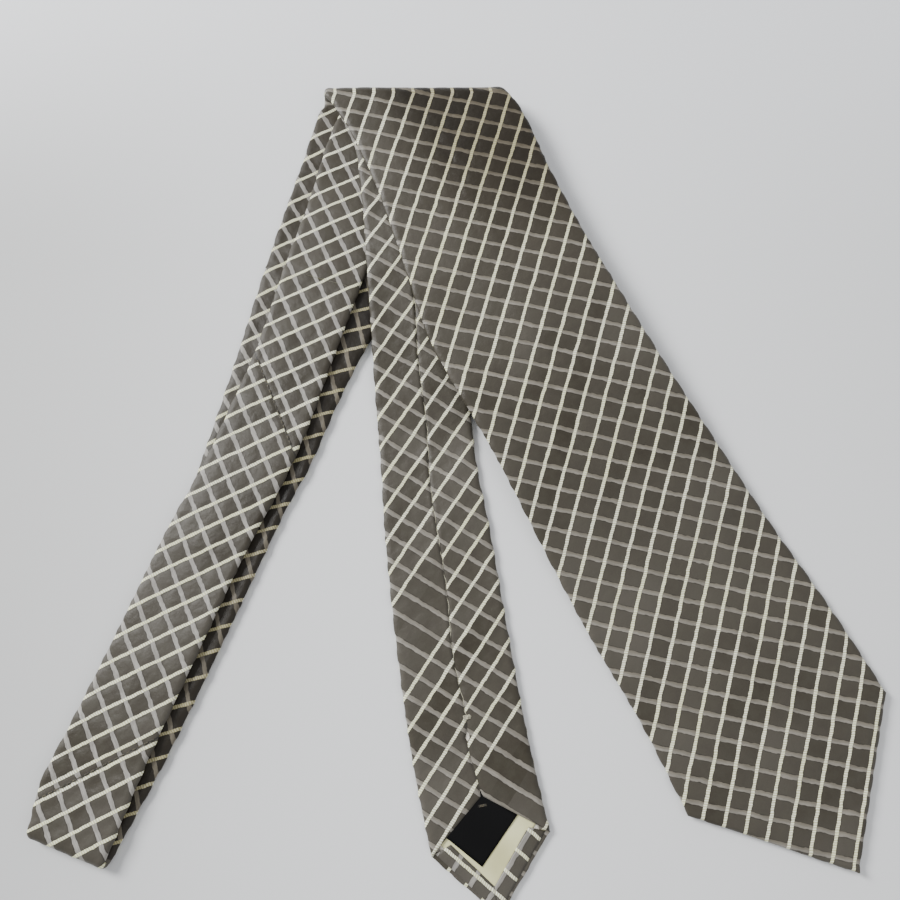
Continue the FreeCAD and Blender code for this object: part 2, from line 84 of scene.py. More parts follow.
def spline(points, count):
    """Even samples of a Catmull-Rom curve through the points."""
    points = np.asarray(points, float)
    padded = np.vstack([2 * points[0] - points[1], points, 2 * points[-1] - points[-2]])
    fine = []
    share = np.linspace(0, 1, 24, endpoint=False)[:, None]
    for p0, p1, p2, p3 in zip(padded, padded[1:], padded[2:], padded[3:]):
        bend = (2 * p0 - 5 * p1 + 4 * p2 - p3) * share ** 2
        twist = (3 * p1 - p0 - 3 * p2 + p3) * share ** 3
        fine.append(0.5 * (2 * p1 + (p2 - p0) * share + bend + twist))
    fine = np.vstack(fine + [points[-1:]])
    middle = (fine[:, 0:2] + fine[:, 2:4]) / 2
    travel = np.concatenate([[0], np.cumsum(np.linalg.norm(np.diff(middle, axis=0), axis=1))])
    wanted = np.linspace(0, travel[-1], count)
    return np.stack([np.interp(wanted, travel, column) for column in fine.T], axis=1)


def ripple(points, seed, length, count=9):
    """Soft irregular waves, about one high, with the given wavelength in millimetres."""
    source = np.random.RandomState(seed)
    total = np.zeros(points.shape[:-1])
    for _ in range(count):
        turn, shift = source.uniform(0, 2 * math.pi, 2)
        wave = 2 * math.pi / (length * source.uniform(0.6, 1.6))
        along = points[..., 0] * math.cos(turn) + points[..., 1] * math.sin(turn)
        total += np.sin(along * wave + shift)
    return total / math.sqrt(count)


def creases(points, seed, count, area):
    """Short sharp wrinkles scattered over an area of (low x, low y, high x, high y)."""
    width, curl = 1.3, 0.03
    source = np.random.RandomState(seed)
    total = np.zeros(points.shape[:-1])
    for _ in range(count):
        centre = source.uniform(area[:2], area[2:])
        turn = source.uniform(0, math.pi)
        length = source.uniform(3.5, 9.0)
        x, y = points[..., 0] - centre[0], points[..., 1] - centre[1]
        along = x * math.cos(turn) + y * math.sin(turn)
        aside = y * math.cos(turn) - x * math.sin(turn) + curl * along ** 2
        total += source.choice([-1.0, 1.0]) * np.exp(-(along / length) ** 2 - (aside / width) ** 2)
    return total


def mirrored(points, edge):
    """Points on the far side of an edge line, where the cloth has been turned over it."""
    tangent = unit(np.gradient(edge, axis=0))[:, None]
    normal = np.stack([-tangent[..., 1], tangent[..., 0]], axis=-1)
    distance = ((points - edge[:, None]) * normal).sum(axis=-1, keepdims=True)
    return points - 2 * distance * normal


def strip_axes(left, right):
    """Middle line of a strip between two edges, and its directions across and along."""
    middle = (left + right) / 2
    return middle, unit(right - left), unit(np.gradient(middle, axis=0))


def spread(axes, offset, shift=0.0):
    """Points of a strip: each is offset across the middle line and shifted along it."""
    middle, across, along = (part[:, None] for part in axes)
    shift = np.broadcast_to(shift, offset.shape)
    return middle + across * offset[..., None] + along * shift[..., None]


# ---------------- the check's place on each run

class Check:
    """Where the check lies on a run.

    lean: cream stripes, degrees from straight down towards the left; fall: how steeply the grey
    stripes drop towards the right; cream and grey: phases; spread: pitch of the cream stripes;
    bare: the span, in repeats, where the weave leaves the cream stripes out.
    """

    def __init__(self, lean, fall, cream, grey, spread=PITCH, bare=(0.0, 0.0)):
        self.lean, self.fall = math.radians(lean), math.radians(fall)
        self.cream, self.grey = cream, grey
        self.spread, self.bare = spread, bare

    def at(self, points):
        x, y = points[..., 0], points[..., 1]
        across = x * math.cos(self.lean) - y * math.sin(self.lean)
        along = -x * math.sin(self.fall) - y * math.cos(self.fall)
        return np.stack([across / self.spread + self.cream, along / PITCH + self.grey], axis=-1)

    def leaves_out(self, uv):
        return (uv[..., 0] > self.bare[0]) & (uv[..., 0] < self.bare[1])


BLADE_CHECK = Check(16.1, 11.8, -0.39, 0.27, 8.85)
NECK_CHECK = Check(63.2, 65.4, -0.565, 0.29, 8.28)
TAIL_CHECK = Check(63.2, 65.4, 0.256, 0.30, 8.28)
NECK_END_CHECK = Check(63.2, 65.4, -0.07, 0.29, 8.28)
LEFT_FLAP_CHECK = Check(33.5, 30.5, 0.0, 0.67, 8.5, bare=(14.5, 16.5))
RIGHT_FLAP_CHECK = Check(33.5, 30.5, 0.25, 0.74, 8.5, bare=(22.5, 25.3))
UNDER_LEFT_CHECK = Check(62.0, 60.0, 0.857, 0.655, 8.9)
UNDER_RIGHT_CHECK = Check(74.5, 75.0, 0.138, 0.046)
TAIL_HEM_CHECK = Check(-50.6, -55.9, 0.65, 0.2)


# ---------------- frames, heights and rows

class Run:
    """A straight run's frame, at the hinge that bends it; -y leads away from the fold."""

    def __init__(self, joint):
        x, y, self.level = (part / MM for part in joints[joint]["pos_m"])
        self.origin = np.array([x, y])
        axis_x, axis_y, _ = joints[joint]["axis"]
        self.side = unit(-np.array([axis_x, axis_y]))
        self.out = np.array([self.side[1], -self.side[0]])

    def distance(self, points):
        """How far along the run points lie, from the bend."""
        return (points[..., :2] - self.origin) @ self.out

    def at(self, x, y):
        """Points of the model's frame from run coordinates."""
        return self.origin + np.multiply.outer(x, self.side) - np.multiply.outer(y, self.out)

    def bend(self, start, end):
        plans = [self.origin + self.out * distance for distance in (start, end)]
        return [(x * MM, y * MM, self.level * MM) for x, y in plans]


BLADE, TAIL, NECK = Run("blade_lift"), Run("tail_lift"), Run("neck_lift")
INNER, TOP = Run("inner_fold"), Run("top_fold")
UNDER_LEVEL, NECK_LEVEL, TAIL_LEVEL, BLADE_LEVEL = 1.3, 4.3, 7.7, 10.7
SHELF_LEVEL, BLADE_REST = 9.3, 1.9      # the blade beyond the neck run, and on the table
SHELF_FROM, SHELF_LENGTH, BLADE_FALL = 100, 21, 110
TAIL_FALL_FROM, TAIL_FALL = 86, 75


def sinking(share):
    """A fall that is partly straight and partly eased at both ends."""
    return smooth(share, 0, 1) * 0.4 + share * 0.6


def blade_height(points):
    shelf = np.clip((TOP.distance(points) - SHELF_FROM) / SHELF_LENGTH, 0, 1)
    fall = sinking(np.clip(BLADE.distance(points) / BLADE_FALL, 0, 1))
    return BLADE_LEVEL - (BLADE_LEVEL - SHELF_LEVEL) * shelf - (SHELF_LEVEL - BLADE_REST) * fall


def tail_height(points):
    fall = sinking(np.clip((INNER.distance(points) - TAIL_FALL_FROM) / TAIL_FALL, 0, 1))
    return TAIL_LEVEL - (TAIL_LEVEL - UNDER_LEVEL) * fall


def level_height(level):
    def height(points):
        return np.full(points.shape[:-1], level)
    return height


class Rows:
    """Rows along a run: mid-surface edges, front normal, and the cloth's own flat coordinates."""

    PARTS = ("left", "right", "front", "flat_left", "flat_right")

    def __init__(self, left, right, front, flat_left=None, flat_right=None):
        self.left, self.right, self.front = left, right, front
        self.flat_left = left[:, :2] if flat_left is None else flat_left
        self.flat_right = right[:, :2] if flat_right is None else flat_right

    def __add__(self, other):
        return Rows(*[np.vstack([getattr(self, part), getattr(other, part)]) for part in self.PARTS])

    def __getitem__(self, keep):
        return Rows(*[getattr(self, part)[keep] for part in self.PARTS])

    def __len__(self):
        return len(self.left)

    def middle(self):
        return (self.left + self.right) / 2


def run_rows(stations, height, front_sign):
    """Rows through stations of (left x, left y, right x, right y)."""
    stations = np.array(stations, float)
    middle = (stations[:, 0:2] + stations[:, 2:4]) / 2
    length = np.linalg.norm(np.diff(middle, axis=0), axis=1).sum()
    rows = spline(stations, int(length / ROW_STEP))
    left, right = rows[:, 0:2], rows[:, 2:4]
    left = np.hstack([left, height(left)[:, None]])
    right = np.hstack([right, height(right)[:, None]])
    return Rows(left, right, np.tile(UP * front_sign, (len(rows), 1)))


def folded_back(rows, edge, out, radius):
    """Give rows the flat coordinates that they have once the fold beside them is opened."""
    for part in ("flat_left", "flat_right"):
        flat = getattr(rows, part)
        depth = (np.asarray(edge) - flat) @ out
        setattr(rows, part, flat + np.outer(2 * depth + math.pi * radius, out))
    return rows


def turn_rows(lower, upper, out, front_sign, nip=(0.0, 0.0), bulge=1.0):
    """Rows round a fold, from the lower run's row to the upper run's row next to it."""
    out = np.append(out, 0.0)
    radius = (upper.middle()[0, 2] - lower.middle()[0, 2]) / 2
    count = int(math.pi * radius / TURN_STEP) + 4
    angles = np.linspace(-math.pi / 2, math.pi / 2, count + 2)[1:-1, None]
    share = (np.sin(angles) + 1) / 2
    across = unit(upper.right[0] - upper.left[0])
    sides = []
    for low, high, pull in zip((lower.left[0], lower.right[0]), (upper.left[0], upper.right[0]), nip):
        place = low * (1 - share) + high * share
        sides.append(place + out * np.cos(angles) * radius * bulge + across * np.cos(angles) * pull)
    radial = out * np.cos(angles) + UP * np.sin(angles)
    roll = (angles / math.pi) + 0.5
    flats = [getattr(lower, part)[0] * (1 - roll) + getattr(upper, part)[0] * roll
             for part in ("flat_left", "flat_right")]
    return Rows(sides[0], sides[1], radial * front_sign, *flats)


def tip_rows(rows, tip, height):
    """Rows from a run's shoulders to its point."""
    tip = np.array([tip[0], tip[1], height(np.array(tip, float))])
    last = rows[-1:]
    reach = np.linalg.norm(tip - last.middle()[0])
    shares = np.linspace(0.002, 0.995, int(reach / ROW_STEP))[:, None]
    edges = [getattr(last, side) * (1 - shares) + tip * shares for side in ("left", "right")]
    return Rows(edges[0], edges[1], np.tile(last.front, (len(shares), 1)))


BLADE_STATIONS = [
    (-44.5, 9.4, 43.5, 12.2), (-38.5, 1, 48.8, 4), (-29.5, -15, 54.6, -9), (-18, -42, 61.9, -28),
    (-5, -81, 75.2, -57), (6, -114, 89.6, -84.5), (22, -144, 105.5, -113), (37, -171, 117, -133),
    (69.8, -235.4, 150.5, -188), (93, -276.5, 175, -227), (110.5, -312.4, 196.6, -264.8),
]
BLADE_TIP = (177.1, -333.9)
UNDER_STATIONS = [
    (-46, 9.4, 43.5, 12.2), (-49, 3, 40, 4), (-54.8, -20, 27, -21), (-67.6, -67.2, 2, -71),
    (-78.4, -111.3, -21, -112), (-84.8, -137.4, -34, -140), (-91.5, -162.5, -45.7, -169.8),
    (-98, -185, -56, -191), (-113, -226, -75.5, -238), (-131, -272, -97.5, -289),
    (-147.5, -315.5, -116, -327.5),
]
NECK_STATIONS = [
    (-148.5, -315.5, -117.5, -327.5), (-145.5, -298, -110, -306), (-137.3, -278.7, -103, -287),
    (-124, -247, -90, -255), (-104.7, -198.9, -71.5, -210), (-92, -172, -57.5, -180),
    (-81.7, -145, -47.5, -155), (-71.2, -116.1, -38, -125), (-60.6, -76.2, -25.5, -86),
    (-51.4, -45.1, -14, -53), (-44, -15, -5, -21), (-38.5, 3, 0.5, 0.5),
]
TAIL_STATIONS = [
    (-36.5, 3.5, 1.5, 0.5), (-33, -1, 5, -3), (-28.5, -23, 10.5, -19), (-25.3, -50, 13.5, -45),
    (-22.5, -83, 17, -77), (-20.5, -107, 20, -101), (-17.4, -145, 24, -139), (-14.5, -175, 27, -169),
    (-12.5, -202, 32, -195), (-6.3, -252, 40, -243), (-0.1, -291, 47, -282), (7.7, -327, 55, -318),
]
TAIL_TIP = (34.4, -348.9)


# ---------------- tubes of cloth

def section(half, count):
    """Across positions and rim heights of one face, edge to edge, for every row's half width."""
    rim = np.minimum(RIM, half * 0.9)[:, None]
    steps = RIM_STEPS[None, :] * rim
    rise = np.repeat(np.sqrt(1 - (1 - RIM_STEPS) ** 2)[None, :], len(half), axis=0)
    share = np.linspace(-1, 1, count + 2)[1:-1]
    share = np.sign(share) * np.abs(share) ** 1.25
    inner = share[None, :] * (half[:, None] - rim)
    left = -half[:, None] + steps
    across = np.hstack([left, inner, -left[:, ::-1]])
    return across, np.hstack([rise, np.ones_like(inner), rise[:, ::-1]])


def relief(uv, strength):
    """Puffed cells between slightly sunk stripes."""
    near = np.abs((uv + 0.5) % 1.0 - 0.5)
    cell = smooth(near[..., 0], 0.09, 0.3) * smooth(near[..., 1], 0.09, 0.3)
    return (cell - 0.5) * strength


def one_panel(check):
    """A run cut from one panel: its check follows the flat cloth."""
    def pattern(flat, plan):
        uv = check.at(flat)
        return uv, uv, np.full(uv.shape[:-1], NO_SEAM)
    return pattern


class Tube:
    """A closed tube of padded cloth along rows, with its back flaps meeting at a centre seam.

    vee: row of the shoulders, depth of the open vee, and how far up the run the flaps slant.
    flaps: slice of the rows whose back has its own checks, and the left and right flap's check.
    gap_at: the row where the flaps gape below a bar tack.
    """

    FEWEST_COLUMNS = 24
    WANDER = 0.7                     # how far the centre seam strays
    CREASE_AREA = (-60, -330, 190, 0)
    LOW_SWELL, SWELL = 0.03, 0.27    # waves of a face that lies down, and what facing up adds
    CELL_PUFF, EDGE_PUFF = 0.16, 0.35
    SEAM_SINK, GROOVE, GAPE = 0.3, 1.1, 0.7
    OVERLAP, UNDERLAP = 0.28, -0.05  # the left flap lies over the right one
    LINED = 0.15                     # share of the thickness left where the lining shows

    def __init__(self, name, rows, pattern, vee=None, flaps=None, gap_at=NOWHERE):
        self.name, self.rows, self.flaps = name, rows, flaps
        self.axes = strip_axes(rows.left, rows.right)
        self.half = np.linalg.norm(rows.right - rows.left, axis=1)[:, None] / 2
        columns = max(self.FEWEST_COLUMNS, int(self.half.max() * 2 / COLUMN_STEP))
        self.across, self.height = section(self.half[:, 0], columns)
        self.columns = self.across.shape[1]
        self.centre = self.columns // 2
        self.share = self.across / self.half
        self.lowered = np.zeros(len(rows), bool)
        self.shear = np.zeros_like(self.across)
        if vee:
            self.open_vee(*vee)
        self.past_gap = (np.arange(len(rows)) - gap_at)[:, None] * ROW_STEP
        flat, plan = self.lay_check(pattern)
        self.shape_faces(flat, plan)
        self.front_shade = np.zeros_like(self.across)
        # painted shade in the slit where the flaps gape below the bar tack, on the back seam
        self.back_shade = np.exp(-(self.past_gap / 3.4) ** 2 - (self.across / 0.9) ** 2)
        self.bare = np.zeros_like(self.across)
        self.own_back = np.zeros((len(rows), 1), bool)
        if flaps:
            self.own_back[flaps[0]] = True
            self.flap_uv = [check.at(self.back_points) for check in flaps[1:]]
            left, right = (check.leaves_out(uv) for check, uv in zip(flaps[1:], self.flap_uv))
            on_left = np.arange(self.columns)[None, :] <= self.centre
            self.bare = np.where(on_left, left, right) * self.own_back

    def open_vee(self, shoulder, depth, reach):
        """Draw the flaps up into the vee; the rows beyond the shoulders have none."""
        index = np.arange(len(self.rows))
        before = smooth((index - shoulder) * ROW_STEP, -reach, 0.0)
        beyond = np.clip((index - shoulder - 1) / (len(self.rows) - shoulder - 1), 0, 1)
        self.lowered = index > shoulder
        ramp = np.where(self.lowered, 1 - beyond, before)
        self.shear = -ramp[:, None] * depth * (1 - np.abs(self.share))

    def lay_check(self, pattern):
        rows = self.rows
        flat_axes = strip_axes(rows.flat_left, rows.flat_right)
        plan_axes = [part[:, :2] for part in self.axes]
        stray = self.WANDER * (1 - np.abs(self.share)) ** 2
        self.back_across = self.across + ripple(flat_axes[0], 21, 38)[:, None] * stray
        flat, plan = spread(flat_axes, self.across), spread(plan_axes, self.across)
        self.front_uv, self.front_other, self.front_panel = pattern(flat, plan)
        flat_back = self.turned(flat_axes, rows.flat_left, rows.flat_right)
        plan_back = self.turned(plan_axes, rows.left[:, :2], rows.right[:, :2])
        self.back_uv, self.back_other, self.back_panel = pattern(flat_back, plan_back)
        return flat, plan

    def turned(self, axes, left, right):
        """The back's points turned out over their nearer edges."""
        points = spread(axes, self.back_across, self.shear)
        return np.where(self.across[..., None] < 0, mirrored(points, left), mirrored(points, right))

    def shape_faces(self, flat, plan):
        """Points of both faces: waves, creases and puffed cells in front, flaps and seam behind."""
        across, height, front = self.across, self.height, self.rows.front
        calm = smooth(self.half - np.abs(across), 0.0, 9.0)
        wave = ripple(flat, 3, 46) * 0.8 + ripple(flat, 53, 15) * 0.25
        wave = np.clip(wave, -0.9, 0.9) * calm
        wave += creases(plan, 11, 26, self.CREASE_AREA) * 0.7 * calm

        def padded(uv, facing):
            swell = self.LOW_SWELL + self.SWELL * np.maximum(facing, 0)
            return height * (FACE + wave * swell + relief(uv, self.CELL_PUFF))

        lift_front = padded(self.front_uv, front[:, 2:3])
        lift_front -= self.SEAM_SINK * np.exp(-(self.front_panel / 0.9) ** 2) * height
        lift_back = padded(self.back_uv, -front[:, 2:3])
        gap = 0.5 + self.GAPE * np.exp(-(self.past_gap / 3.2) ** 2)
        lift_back -= self.GROOVE * gap * np.exp(-(across / gap) ** 2)
        lap = np.where(across < 0, self.OVERLAP, self.UNDERLAP) * (across != 0)
        lift_back += lap * np.exp(-np.abs(across) / 2.2)
        lift_back = np.where(self.lowered[:, None], height * self.LINED, lift_back)
        scallop = np.sign(across) * (1 - calm) * relief(self.front_uv, self.EDGE_PUFF)
        lift_front, lift_back = (front[:, None] * lift[..., None] for lift in (lift_front, lift_back))
        self.front_points = spread(self.axes, across + scallop) + lift_front
        self.back_points = spread(self.axes, self.back_across + scallop, self.shear) - lift_back

    @staticmethod
    def ring(front, back):
        """Front columns followed by the back's inner columns, right to left."""
        return np.concatenate([front, back[:, 1:-1][:, ::-1]], axis=1)

    def corners(self, front, back, faces):
        """The check at the corners of faces; a flap that has its own check takes it from there."""
        uv = self.ring(front, back).reshape(-1, 2)[faces]
        if self.flaps:
            column = np.arange(len(faces))[:, None, None, None]
            left, right = (self.ring(flap, flap).reshape(-1, 2)[faces] for flap in self.flap_uv)
            seam = self.columns + (self.columns - 2) - self.centre
            own = self.own_back[:-1, :, None] & (column >= self.columns - 1)
            uv = np.where(own, np.where(column < seam, right, left), uv)
        return uv

    def build(self):
        points = self.ring(self.front_points, self.back_points)
        count, ring = points.shape[:2]
        step = -1 if self.faces_inward() else 1
        faces = sleeve(count, ring)
        tables = []
        for front, back in ((self.front_uv, self.back_uv), (self.front_other, self.back_other)):
            corners = self.corners(front, back, faces)[:, :, ::step].reshape(-1, 2)
            tables.append(np.vstack([corners, np.zeros((2 * ring, 2))]))
        last = count * ring
        caps = [last + np.arange(ring)[::-step], last + ring + np.arange(ring)[::step]]
        polygons = faces[:, :, ::step].reshape(-1, 4).tolist() + [cap.tolist() for cap in caps]
        rims = [end + (end.mean(axis=0) - end) * 0.02 for end in (points[0], points[-1])]
        piece = make_mesh(self.name, np.vstack([points.reshape(-1, 3)] + rims), polygons)
        fields = ((self.front_panel, self.back_panel, NO_SEAM), (self.bare * 0, self.bare, 0),
                  (self.front_shade, self.back_shade, 0))
        values = [np.append(self.ring(front, back), np.full(2 * ring, rim)) for front, back, rim in fields]
        write_cloth(piece, *tables, *values)
        return piece

    def faces_inward(self):
        _, across, along = self.axes
        return np.dot(np.cross(across[0], along[0]), self.rows.front[0]) < 0


def sleeve(count, ring):
    """Faces between a count of rings: the first axis goes round, the second along."""
    index = np.arange(count * ring).reshape(count, ring).T
    after = np.roll(index, -1, axis=0)
    return np.stack([index[:, :-1], after[:, :-1], after[:, 1:], index[:, 1:]], axis=-1)


def make_mesh(name, points, polygons):
    mesh = bpy.data.meshes.new(name)
    mesh.from_pydata((np.asarray(points) * MM).tolist(), [], polygons)
    mesh.update()
    mesh.polygons.foreach_set("use_smooth", [len(polygon) == 4 for polygon in polygons])
    piece = bpy.data.objects.new(name, mesh)
    bpy.context.scene.collection.objects.link(piece)
    return piece


def write_uv(piece, name, values):
    layer = piece.data.uv_layers.new(name=name)
    layer.data.foreach_set("uv", np.asarray(values, np.float32).ravel())


def write_cloth(piece, uv, other, panel, bare, shade):
    """All that the check's material reads: two UV maps and three values at each point."""
    write_uv(piece, "check", uv)
    write_uv(piece, "check_other", other)
    for name, values in (("panel", panel), ("bare", bare), ("shade", shade)):
        attribute = piece.data.attributes.new(name, "FLOAT", "POINT")
        attribute.data.foreach_set("value", np.asarray(values, np.float32))


def slab(name, top, normal, thickness, check=None):
    """A closed sheet from a grid of top points, with rolled edges."""
    count, columns = top.shape[:2]
    edge = np.minimum.outer(np.minimum(np.arange(count), np.arange(count)[::-1]),
                            np.minimum(np.arange(columns), np.arange(columns)[::-1]))
    full = np.where(edge > 0, 0.5, 0.12)[..., None] * thickness
    middle = top - normal * thickness / 2
    faces = middle + normal * full, middle - normal * full
    points = np.concatenate([face.reshape(-1, 3) for face in faces])
    index = np.arange(count * columns).reshape(count, columns)
    above = np.stack([index[:-1, :-1], index[:-1, 1:], index[1:, 1:], index[1:, :-1]], axis=-1)
    above = above.reshape(-1, 4)
    under = above[:, ::-1] + count * columns
    loop = np.concatenate([index[0, :-1], index[:-1, -1], index[-1, :0:-1], index[:0:-1, 0]])
    after = np.roll(loop, -1)
    wall = np.stack([after, loop, loop + count * columns, after + count * columns], axis=1)
    across = top[0, -1] - top[0, 0]
    along = top[1, 0] - top[0, 0]
    polygons = np.concatenate([above, under, wall])
    if np.dot(np.cross(across, along), np.broadcast_to(normal, top.shape)[0, 0]) < 0:
        polygons = polygons[:, ::-1]
    piece = make_mesh(name, points, polygons.tolist())
    if check is not None:
        uv, blank = check.at(points)[polygons.ravel()], np.zeros(len(points))
        write_cloth(piece, uv, uv, blank + NO_SEAM, blank, blank)
    return piece


def cord(name, strands, radius, sides=6):
    """Round threads along polylines, as one mesh."""
    points, polygons = [], []
    turns = np.linspace(0, 2 * math.pi, sides, endpoint=False)
    for strand in strands:
        strand = np.asarray(strand, float)
        ahead = unit(np.gradient(strand, axis=0))
        aside = np.cross(ahead, UP)
        short = np.linalg.norm(aside, axis=1) < 0.05
        aside[short] = np.cross(ahead[short], [1.0, 0.0, 0.0])
        aside = unit(aside)
        over = np.cross(aside, ahead)
        taper = np.full(len(strand), radius)
        taper[[0, -1]] = radius * 0.35
        round_it = aside[:, None] * np.cos(turns)[:, None] + over[:, None] * np.sin(turns)[:, None]
        rings = strand[:, None] + round_it * taper[:, None, None]
        faces = sleeve(len(strand), sides).transpose(1, 0, 2).reshape(-1, 4)
        end = (len(strand) - 1) * sides
        caps = [np.arange(sides), np.arange(end + sides - 1, end - 1, -1)]
        polygons += [(face + len(points)).tolist() for face in [*faces, *caps]]
        points.extend(rings.reshape(-1, 3))
    return make_mesh(name, points, polygons)


# ---------------- materials

class Value:
    """An output of a node tree, so that sums can be written the usual way."""

    def __init__(self, nodes, socket):
        self.nodes, self.socket = nodes, socket

    def __add__(self, other):
        return self.nodes.math("ADD", self, other)

    def __sub__(self, other):
        return self.nodes.math("SUBTRACT", self, other)

    def __rsub__(self, other):
        return self.nodes.math("SUBTRACT", other, self)

    def __mul__(self, other):
        return self.nodes.math("MULTIPLY", self, other)

    def __abs__(self):
        return self.nodes.math("ABSOLUTE", self)


class Nodes:
    """A short way to write a node material."""

    def __init__(self, name):
        self.material = bpy.data.materials.new(name)
        self.material.use_nodes = True
        self.tree = self.material.node_tree
        self.shader = self.tree.nodes["Principled BSDF"]

    def add(self, kind, feeds=(), output=0, **settings):
        """A node with its settings and with feeds as pairs of input and value; gives its output."""
        node = self.tree.nodes.new(kind)
        for key, value in settings.items():
            setattr(node, key, value)
        for key, value in feeds:
            self.feed(value, node.inputs[key])
        return Value(self, node.outputs[output])

    def feed(self, value, socket):
        if isinstance(value, Value):
            self.tree.links.new(value.socket, socket)
        else:
            socket.default_value = value

    def math(self, operation, *values):
        return self.add("ShaderNodeMath", enumerate(values), operation=operation)

    def span(self, value, low, high, start=0.0, end=1.0):
        """The value carried smoothly from one span to another."""
        names = ("Value", "From Min", "From Max", "To Min", "To Max")
        feeds = zip(names, (value, low, high, start, end))
        return self.add("ShaderNodeMapRange", feeds, interpolation_type="SMOOTHSTEP")

    def band(self, distance, edge, softness):
        """One inside the edge, falling to nought outside it."""
        return self.span(distance, edge - softness, edge + softness, 1.0, 0.0)

    def mix(self, share, first, second, blend="MIX"):
        feeds = (0, share), (6, first), (7, second)
        return self.add("ShaderNodeMix", feeds, 2, data_type="RGBA", blend_type=blend)

    def vector(self, x, y):
        return self.add("ShaderNodeCombineXYZ", ((0, x), (1, y)))

    def noise(self, vector, scale, detail=3.0, low=0.0, high=1.0):
        feeds = ("Vector", vector), ("Scale", scale), ("Detail", detail)
        return self.span(self.add("ShaderNodeTexNoise", feeds, "Fac"), 0.3, 0.7, low, high)

    def place(self):
        return self.add("ShaderNodeTexCoord", output="Object")

    def axis(self, vector, name):
        return self.add("ShaderNodeSeparateXYZ", ((0, vector),), name)

    def wave(self, value):
        """A sine that turns once for each whole number."""
        return self.math("SINE", value * (2 * math.pi))

    def off_line(self, value):
        """Signed distance, in repeats, from the nearest stripe's middle line."""
        return self.math("FRACT", value + 0.5) - 0.5

    def bump(self, height, strength, distance):
        feeds = ("Strength", strength), ("Distance", distance), ("Height", height)
        self.feed(self.add("ShaderNodeBump", feeds), self.shader.inputs["Normal"])

    def finish(self, colour, roughness, sheen=0.0, specular=0.5):
        self.feed(colour, self.shader.inputs["Base Color"])
        self.feed(roughness, self.shader.inputs["Roughness"])
        self.feed(sheen, self.shader.inputs["Sheen Weight"])
        self.feed(specular, self.shader.inputs["Specular IOR Level"])
        return self.material


def rgb(red, green, blue):
    """A colour given as it looks on screen, 0 to 255."""
    return tuple(((part / 255 + 0.055) / 1.055) ** 2.4 for part in (red, green, blue)) + (1.0,)


